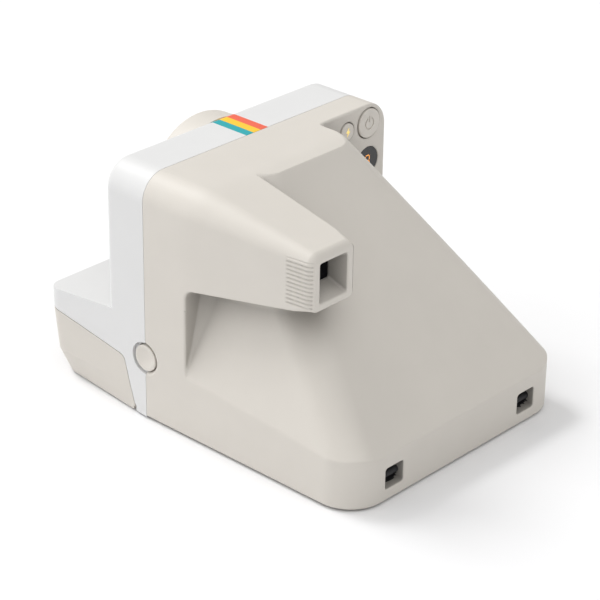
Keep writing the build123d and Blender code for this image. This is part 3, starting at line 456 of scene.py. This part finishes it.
def skin(name, form, xs, ys, zs, keep):
    """A closed mesh of the form, thinned to a share of its faces and shaded by the form's own slope."""
    points, quads = surface_net(form, xs, ys, zs)
    points = onto_surface(form, points)
    mesh = bpy.data.meshes.new(name)
    mesh.from_pydata(points * MM, [], quads.tolist())
    piece = bpy.data.objects.new(name, mesh)
    bpy.context.collection.objects.link(piece)
    thin = piece.modifiers.new("thin", "DECIMATE")
    thin.ratio = keep
    thin.use_collapse_triangulate = True
    evaluated = piece.evaluated_get(bpy.context.evaluated_depsgraph_get())
    thinned = bpy.data.meshes.new_from_object(evaluated)
    piece.modifiers.clear()
    piece.data = thinned
    places = np.empty(len(thinned.vertices) * 3)
    thinned.vertices.foreach_get("co", places)
    places = onto_surface(form, places.reshape(-1, 3) / MM, rounds=2, most=0.15)
    thinned.vertices.foreach_set("co", (places * MM).ravel())
    thinned.shade_smooth()
    corners = np.empty(len(thinned.loops), np.int32)
    thinned.loops.foreach_get("vertex_index", corners)
    thinned.normals_split_custom_set(corner_normals(form, places[corners].reshape(-1, 3, 3)).tolist())
    thinned.update()
    return piece


# ---------------------------------------------------------------- materials

# the part of a noise texture's range that it mostly stays in
NOISE_LOW, NOISE_HIGH = 0.3, 0.7
TONE_STOPS = (0.35, 0.65)


def tree_of(name):
    """A new material with its node tree's shader and a source of object coordinates."""
    material = bpy.data.materials.new(name)
    material.use_nodes = True
    tree = material.node_tree
    shader = tree.nodes["Principled BSDF"]
    place = tree.nodes.new("ShaderNodeTexCoord").outputs["Object"]
    return material, tree, shader, place


def noise(tree, place, size_mm, detail=2.0, rough=0.5):
    """Noise whose features are about size_mm across."""
    node = tree.nodes.new("ShaderNodeTexNoise")
    node.inputs["Scale"].default_value = 1 / (size_mm * MM)
    node.inputs["Detail"].default_value = detail
    node.inputs["Roughness"].default_value = rough
    tree.links.new(place, node.inputs["Vector"])
    return node.outputs["Fac"]


def spread(tree, value, low, high):
    """Maps a texture's value to a range."""
    node = tree.nodes.new("ShaderNodeMapRange")
    node.inputs["From Min"].default_value = NOISE_LOW
    node.inputs["From Max"].default_value = NOISE_HIGH
    node.inputs["To Min"].default_value = low
    node.inputs["To Max"].default_value = high
    tree.links.new(value, node.inputs["Value"])
    return node.outputs["Result"]


def two_tone(tree, value, first, second):
    """A colour between two, by a texture's value."""
    blend = tree.nodes.new("ShaderNodeValToRGB")
    for element, position, colour in zip(blend.color_ramp.elements, TONE_STOPS, (first, second)):
        element.position = position
        element.color = (*colour, 1)
    tree.links.new(value, blend.inputs["Fac"])
    return blend.outputs["Color"]


def bump(tree, shader, value, depth_mm, strength):
    """Raises and lowers the surface by a texture's value."""
    node = tree.nodes.new("ShaderNodeBump")
    node.inputs["Distance"].default_value = depth_mm * MM
    node.inputs["Strength"].default_value = strength
    tree.links.new(value, node.inputs["Height"])
    tree.links.new(node.outputs["Normal"], shader.inputs["Normal"])


def shade(colour, factor):
    """The colour made lighter or darker."""
    return tuple(min(1.0, c * factor) for c in colour)


# how far, in mm, the painted shade in hollows looks for closing walls
PAINTED_SHADE_REACH = 22.0


def painted_shade_in_hollows(tree, tone, reach_mm, least):
    """The colour, dimmed as painted shade where the piece's own walls close it in."""
    hollow = tree.nodes.new("ShaderNodeAmbientOcclusion")
    hollow.only_local = True
    hollow.samples = 8
    hollow.inputs["Distance"].default_value = reach_mm * MM
    share = tree.nodes.new("ShaderNodeMapRange")
    share.inputs["From Min"].default_value = 0.35
    share.inputs["From Max"].default_value = 0.92
    share.inputs["To Min"].default_value = least
    tree.links.new(hollow.outputs["AO"], share.inputs["Value"])
    scaled = tree.nodes.new("ShaderNodeVectorMath")
    scaled.operation = "SCALE"
    tree.links.new(tone, scaled.inputs[0])
    tree.links.new(share.outputs["Result"], scaled.inputs["Scale"])
    return scaled.outputs["Vector"]


def moulded(name, colour, roughness=0.5, grain_mm=0.35, depth_mm=0.012, vary=0.02, coat=0.0, hollow=1.0):
    """Moulded plastic: a fine spark-eroded grain, faint tone changes, uneven gloss and, when hollow is
    below 1, painted shade in its hollows.
    """
    material, tree, shader, place = tree_of(name)
    cloud = noise(tree, place, 22, 3)
    grain = noise(tree, place, grain_mm, 3, 0.6)
    tone = two_tone(tree, cloud, shade(colour, 1 - vary), shade(colour, 1 + vary))
    # painted shade: the colour is darkened where the piece's own walls are close by
    if hollow < 1:
        tone = painted_shade_in_hollows(tree, tone, PAINTED_SHADE_REACH, hollow)
    tree.links.new(tone, shader.inputs["Base Color"])
    tree.links.new(spread(tree, grain, roughness - 0.05, roughness + 0.06), shader.inputs["Roughness"])
    bump(tree, shader, grain, depth_mm, 0.7)
    shader.inputs["Coat Weight"].default_value = coat
    shader.inputs["Coat Roughness"].default_value = 0.2
    shader.inputs["Specular IOR Level"].default_value = 0.4
    return material


def brushed(name, colour, roughness=0.32, along="X"):
    """Metal with fine lines drawn along one axis."""
    material, tree, shader, place = tree_of(name)
    stretch = tree.nodes.new("ShaderNodeMapping")
    stretch.inputs["Scale"].default_value = [0.03 if axis == along else 1.0 for axis in "XYZ"]
    tree.links.new(place, stretch.inputs["Vector"])
    lines = noise(tree, stretch.outputs["Vector"], 0.12, 4, 0.7)
    tone = two_tone(tree, lines, shade(colour, 0.88), shade(colour, 1.06))
    tree.links.new(tone, shader.inputs["Base Color"])
    tree.links.new(spread(tree, lines, roughness - 0.08, roughness + 0.1), shader.inputs["Roughness"])
    bump(tree, shader, lines, 0.004, 0.5)
    shader.inputs["Metallic"].default_value = 1.0
    return material


def optical(name, tint, roughness=0.03, transmission=0.9, coat=0.6):
    """Clear or dark glass with a faint coating haze."""
    material, tree, shader, place = tree_of(name)
    haze = noise(tree, place, 6, 2)
    tree.links.new(two_tone(tree, haze, shade(tint, 0.94), tint), shader.inputs["Base Color"])
    tree.links.new(spread(tree, haze, roughness, roughness + 0.03), shader.inputs["Roughness"])
    shader.inputs["Transmission Weight"].default_value = transmission
    shader.inputs["Specular IOR Level"].default_value = min(0.5, coat)
    shader.inputs["Coat Weight"].default_value = coat
    shader.inputs["Coat Roughness"].default_value = 0.02
    shader.inputs["Coat Tint"].default_value = (0.80, 0.86, 1.0, 1)
    return material


def prismatic(name, tint, pitch_mm):
    """Clear plastic moulded in upright ridges that spread a flash, with painted shade in the ridges'
    troughs.
    """
    material, tree, shader, place = tree_of(name)
    wave = tree.nodes.new("ShaderNodeTexWave")
    wave.wave_profile = "TRI"
    wave.bands_direction = "X"
    wave.inputs["Scale"].default_value = 0.31 / (pitch_mm * MM)
    tree.links.new(place, wave.inputs["Vector"])
    # painted shade: the tint is darker where the ridges are low, following their height
    tone = two_tone(tree, wave.outputs["Fac"], shade(tint, 0.86), tint)
    tree.links.new(tone, shader.inputs["Base Color"])
    bump(tree, shader, wave.outputs["Fac"], 0.3, 0.9)
    shader.inputs["Roughness"].default_value = 0.12
    shader.inputs["Transmission Weight"].default_value = 0.35
    return material


def circuit(name, mask, copper):
    """A printed board: solder mask over tracks in a square pattern."""
    material, tree, shader, place = tree_of(name)
    tracks = tree.nodes.new("ShaderNodeTexBrick")
    tracks.inputs["Scale"].default_value = 1 / (9 * MM)
    tracks.inputs["Mortar Size"].default_value = 0.03
    tracks.inputs["Color1"].default_value = (*mask, 1)
    tracks.inputs["Color2"].default_value = (*shade(mask, 0.8), 1)
    tracks.inputs["Mortar"].default_value = (*copper, 1)
    tree.links.new(place, tracks.inputs["Vector"])
    tree.links.new(tracks.outputs["Color"], shader.inputs["Base Color"])
    bump(tree, shader, tracks.outputs["Fac"], 0.05, 0.6)
    shader.inputs["Roughness"].default_value = 0.3
    return material


def lit(name, colour, glow):
    """A small lamp or digit that shines a little, slightly mottled."""
    material, tree, shader, place = tree_of(name)
    mottle = noise(tree, place, 1.2, 2)
    tone = two_tone(tree, mottle, shade(colour, 0.85), colour)
    tree.links.new(tone, shader.inputs["Base Color"])
    tree.links.new(tone, shader.inputs["Emission Color"])
    shader.inputs["Emission Strength"].default_value = glow
    shader.inputs["Roughness"].default_value = 0.25
    return material


BEIGE = (0.627, 0.594, 0.546)
WHITE = (0.690, 0.690, 0.690)

# colour, roughness, size of the grain and its depth in mm, and how much the tone varies
MOULDED = {
    "white_shell": (WHITE, 0.46, 0.32, 0.008, 0.008),
    "beige_door": (BEIGE, 0.50, 0.35, 0.010, 0.012),
    "beige_button": (shade(BEIGE, 1.03), 0.45, 0.3, 0.006, 0.012),
    "black_plastic": ((0.022, 0.022, 0.024), 0.6, 0.5, 0.02, 0.15),
    "teal_inlay": ((0.012, 0.36, 0.40), 0.32, 0.6, 0.003, 0.03),
    "yellow_inlay": ((0.88, 0.55, 0.03), 0.32, 0.6, 0.003, 0.03),
    "coral_inlay": ((0.80, 0.13, 0.07), 0.32, 0.6, 0.003, 0.03),
    "rubber": ((0.045, 0.045, 0.047), 0.75, 0.4, 0.03, 0.12),
    "gear_plastic": ((0.74, 0.71, 0.62), 0.42, 0.6, 0.008, 0.03),
    "battery_wrap": ((0.05, 0.12, 0.32), 0.35, 1.5, 0.02, 0.08),
    "capacitor_sleeve": ((0.04, 0.045, 0.09), 0.3, 2.0, 0.02, 0.1),
    "cartridge_black": ((0.025, 0.025, 0.028), 0.5, 0.4, 0.02, 0.12),
}

finishes = {name: moulded(name, *values) for name, values in MOULDED.items()}
finishes |= {
    # the rear shell's beige is darkened in its hollows as painted shade
    "beige_shell": moulded("beige_shell", *MOULDED["beige_door"], hollow=0.5),
    "gloss_black": moulded("gloss_black", (0.010, 0.010, 0.011), 0.22, 3.0, 0.004, 0.1, coat=0.2),
    "red_button": moulded("red_button", (0.62, 0.045, 0.035), 0.3, 0.5, 0.006, 0.05, coat=0.3),
    "steel": brushed("steel", (0.42, 0.42, 0.43), 0.36, "X"),
    "roller_steel": brushed("roller_steel", (0.62, 0.62, 0.63), 0.2, "X"),
    "mirror": brushed("mirror", (0.88, 0.89, 0.90), 0.1, "Y"),
    "reflector": brushed("reflector", (0.82, 0.82, 0.83), 0.18, "Y"),
    "glass": optical("glass", (0.93, 0.96, 0.97)),
    "dark_glass": optical("dark_glass", (0.004, 0.004, 0.005), 0.12, 0.0, 0.05),
    "flash_glass": prismatic("flash_glass", (0.90, 0.92, 0.93), 0.9),
    "circuit_green": circuit("circuit_green", (0.012, 0.12, 0.045), (0.10, 0.26, 0.10)),
    "lamp_yellow": lit("lamp_yellow", (0.95, 0.72, 0.22), 0.5),
    "digit_orange": lit("digit_orange", (1.0, 0.38, 0.05), 0.6),
}

for part in frame["record"]["subparts"]:
    piece = nodes[part["node"]]
    piece.data.materials.clear()
    piece.data.materials.append(finishes[part["material_slot"]])

# ---------------------------------------------------------------- the moulded rear skin

STEP = 0.8
FINE = STEP / 2
KEEP = 0.34
# depth from the rear face at which the painted shade inside the strap slots begins
SLOT_PAINTED_SHADE_DEPTH = 3.4
across = spaced([(-HALF - 1, -50, FINE), (-50, 44, STEP), (44, HALF + 1, FINE)])
back = spaced([(SEAM - 1, SEAM + 1, FINE), (SEAM + 1, -14, STEP), (-14, -1, FINE), (-1, 38, STEP),
               (38, 52, FINE), (52, 68, STEP), (68, REAR + 1, FINE)])
upward = spaced([(BOTTOM - 1, 16, FINE), (16, 54, STEP), (54, 66, FINE), (66, 87, RIB_PITCH / 5),
                 (87, TOP + 1, FINE)])
rear_skin = skin("rear_housing_skin", rear_shell, across, back, upward, KEEP)
# The skin's beige has painted shade in its hollows.
rear_skin.data.materials.append(finishes["beige_shell"])
rear_skin.data.materials.append(finishes["black_plastic"])
# Faces deep inside the strap slots take the black plastic: painted shade on the beige skin's own slot
# walls.
for face in rear_skin.data.polygons:
    middle = face.center / MM
    in_width = abs(abs(middle.x) - STRAP_X) < STRAP_HALF[0] + 0.5
    in_height = abs(middle.z - STRAP_Z) < STRAP_HALF[1] + 0.6
    in_slot_painted_shade = REAR - STRAP_DEPTH - 1 < middle.y < REAR - SLOT_PAINTED_SHADE_DEPTH
    face.material_index = int(in_width and in_height and in_slot_painted_shade)
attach(rear_skin, "camera_body")
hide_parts("rear_housing")
print("rear skin faces", len(rear_skin.data.polygons))

# ---------------------------------------------------------------- lit mark on the flash button

MARK_SINK = 0.3
MARK_RISE = 0.12
MARK_OUTLINE = [(0.45, 1.7), (-0.95, -0.2), (-0.08, -0.2), (-0.45, -1.7), (0.95, 0.2), (0.08, 0.2)]


def plate(name, outline, middle, sink, rise):
    """A thin closed plate with the given outline, standing on a face that looks backwards."""
    count = len(outline)
    points = [(middle.x - u, middle.y + y, middle.z + v) for y in (-sink, rise) for u, v in outline]
    sides = [(i, (i + 1) % count, count + (i + 1) % count, count + i) for i in range(count)]
    caps = [tuple(range(count))[::-1], tuple(range(count, 2 * count))]
    mesh = bpy.data.meshes.new(name)
    mesh.from_pydata([[value * MM for value in point] for point in points], [], caps + sides)
    piece = bpy.data.objects.new(name, mesh)
    bpy.context.collection.objects.link(piece)
    return piece


button_face = FLASH_KEY.copy()
button_face.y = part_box("flash_button")[1].y / MM
flash_mark = plate("flash_mark", MARK_OUTLINE, button_face, MARK_SINK, MARK_RISE)
flash_mark.data.materials.append(finishes["lamp_yellow"])
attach(flash_mark, "flash_button")

# ---------------------------------------------------------------- stage, lights and camera


def floor_material():
    material, tree, shader, place = tree_of("pale_floor")
    tone = two_tone(tree, noise(tree, place, 400, 2), (0.84, 0.84, 0.85), (0.86, 0.86, 0.87))
    tree.links.new(tone, shader.inputs["Base Color"])
    shader.inputs["Roughness"].default_value = 0.9
    shader.inputs["Specular IOR Level"].default_value = 0.1
    return material


FLOOR_HALF = 6.0
floor_mesh = bpy.data.meshes.new("floor")
floor_mesh.from_pydata([(-FLOOR_HALF, -FLOOR_HALF, 0), (FLOOR_HALF, -FLOOR_HALF, 0),
                        (FLOOR_HALF, FLOOR_HALF, 0), (-FLOOR_HALF, FLOOR_HALF, 0)], [], [(0, 1, 2, 3)])
floor = bpy.data.objects.new("floor", floor_mesh)
floor.data.materials.append(floor_material())
bpy.context.collection.objects.link(floor)


def studio_world(horizon, zenith):
    """A plain sky that brightens evenly from the horizon upwards."""
    world = bpy.data.worlds.new("studio")
    world.use_nodes = True
    tree = world.node_tree
    split = tree.nodes.new("ShaderNodeSeparateXYZ")
    rise = tree.nodes.new("ShaderNodeMapRange")
    rise.inputs["To Min"].default_value = horizon
    rise.inputs["To Max"].default_value = zenith
    tree.links.new(tree.nodes.new("ShaderNodeTexCoord").outputs["Generated"], split.inputs["Vector"])
    tree.links.new(split.outputs["Z"], rise.inputs["Value"])
    tree.links.new(rise.outputs["Result"], tree.nodes["Background"].inputs["Strength"])
    tree.nodes["Background"].inputs["Color"].default_value = (1.0, 0.995, 0.98, 1)
    bpy.context.scene.world = world


studio_world(0.32, 0.64)


def sun(name, towards, strength, angle):
    """A soft distant lamp that shines from the given direction."""
    lamp = bpy.data.lights.new(name, "SUN")
    lamp.energy = strength
    lamp.angle = math.radians(angle)
    holder = bpy.data.objects.new(name, lamp)
    holder.rotation_mode = "QUATERNION"
    holder.rotation_quaternion = Vector(towards).to_track_quat("Z", "Y")
    bpy.context.collection.objects.link(holder)


sun("key_light", (0.10, -0.66, 0.74), 1.66, 26)
sun("side_light", (0.76, -0.54, 0.36), 0.92, 60)
sun("overhead_light", (0.10, 0.52, 0.85), 0.80, 60)

CAMERA_AZIMUTH = math.radians(132.73)
CAMERA_ELEVATION = math.radians(26.97)
CAMERA_ROLL = math.radians(0.78)
CAMERA_DISTANCE = 0.836
CAMERA_SIDE = -0.00141
CAMERA_LIFT = -0.0104
LOOK_AT = Vector((0, 0, 0.047))

back_dir = Vector((math.sin(CAMERA_AZIMUTH) * math.cos(CAMERA_ELEVATION),
                   -math.cos(CAMERA_AZIMUTH) * math.cos(CAMERA_ELEVATION), math.sin(CAMERA_ELEVATION)))
level_right = Vector((0, 0, 1)).cross(back_dir).normalized()
level_up = back_dir.cross(level_right)
right_dir = level_right * math.cos(CAMERA_ROLL) + level_up * math.sin(CAMERA_ROLL)
up_dir = level_up * math.cos(CAMERA_ROLL) - level_right * math.sin(CAMERA_ROLL)
camera = bpy.data.objects.new("camera", bpy.data.cameras.new("camera"))
camera.data.lens = 140.65
camera.data.sensor_width = 36
turn = Matrix((right_dir, up_dir, back_dir)).transposed().to_4x4()
spot = LOOK_AT + back_dir * CAMERA_DISTANCE + right_dir * CAMERA_SIDE + up_dir * CAMERA_LIFT
camera.matrix_world = Matrix.Translation(spot) @ turn
bpy.context.collection.objects.link(camera)
bpy.context.scene.camera = camera
bpy.context.scene.view_settings.view_transform = "Standard"
